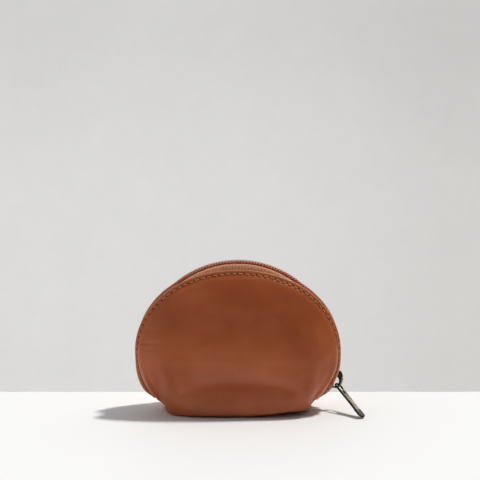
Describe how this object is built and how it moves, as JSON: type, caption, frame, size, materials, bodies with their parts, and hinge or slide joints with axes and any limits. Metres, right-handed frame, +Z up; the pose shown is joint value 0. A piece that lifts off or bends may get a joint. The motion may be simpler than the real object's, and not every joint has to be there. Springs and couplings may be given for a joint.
{
  "type": "zippered pouch",
  "caption": "Half-moon leather coin pouch with a boxed flat base, a coil zipper round the arch and a metal slider with a long pull tab.",
  "frame": {"origin": "middle of the base's underside, on the surface it stands on", "axes": "+X along the pouch's length towards the closed slider, -Y towards the front, +Z up"},
  "size_m": [0.122, 0.0403, 0.0813],
  "materials": {
    "shell_leather": "smooth cognac leather, semi-gloss",
    "base_leather": "smooth cognac leather, slightly duller",
    "lining": "plain woven brown lining",
    "tape": "fine ribbed terracotta zipper tape",
    "coil": "moulded nylon coil, satin",
    "hardware": "antique brass, brushed and darkened in the recesses",
    "thread": "waxed rust-coloured thread"
  },
  "bodies": {
    "base": {"base_panel": "base_leather", "base_lining": "lining", "bottom_stop": "hardware", "corner_stitch_right": "thread", "corner_stitch_left": "thread"},
    "front_half": {"front_panel": "shell_leather", "front_lining": "lining", "zipper_tape_front": "tape", "zipper_coil_front": "coil", "top_stop_front": "hardware", "front_topstitch": "thread"},
    "back_half": {"back_panel": "shell_leather", "back_lining": "lining", "zipper_tape_back": "tape", "zipper_coil_back": "coil", "top_stop_back": "hardware", "back_topstitch": "thread"},
    "slider": {"slider_body": "hardware", "slider_bridge": "hardware"},
    "pull": {"pull_tab": "hardware"}
  },
  "joints": [
    {"name": "slider_travel", "type": "hinge", "parent": "base", "child": "slider", "pos_m": [0, 0, 0.029], "axis": [0, -1, 0], "range_deg": [0, 206]},
    {"name": "front_opens", "type": "hinge", "parent": "base", "child": "front_half", "pos_m": [0, -0.018, 0.0015], "axis": [1, 0, 0], "range_deg": [0, 12.36], "deforming": ["zipper_tape_front", "zipper_coil_front"]},
    {"name": "back_opens", "type": "hinge", "parent": "base", "child": "back_half", "pos_m": [0, 0.018, 0.0015], "axis": [-1, 0, 0], "range_deg": [0, 12.36], "deforming": ["zipper_tape_back", "zipper_coil_back"]},
    {"name": "pull_swing", "type": "hinge", "parent": "slider", "child": "pull", "pos_m": [0.05333, 0.00077, 0.01363], "axis": [-0.7435, -0.6125, 0.2685], "range_deg": [-38, 86]}
  ],
  "couplings": [
    {"joint": "front_opens", "follows": "slider_travel", "ratio": 0.06},
    {"joint": "back_opens", "follows": "slider_travel", "ratio": 0.06}
  ]
}
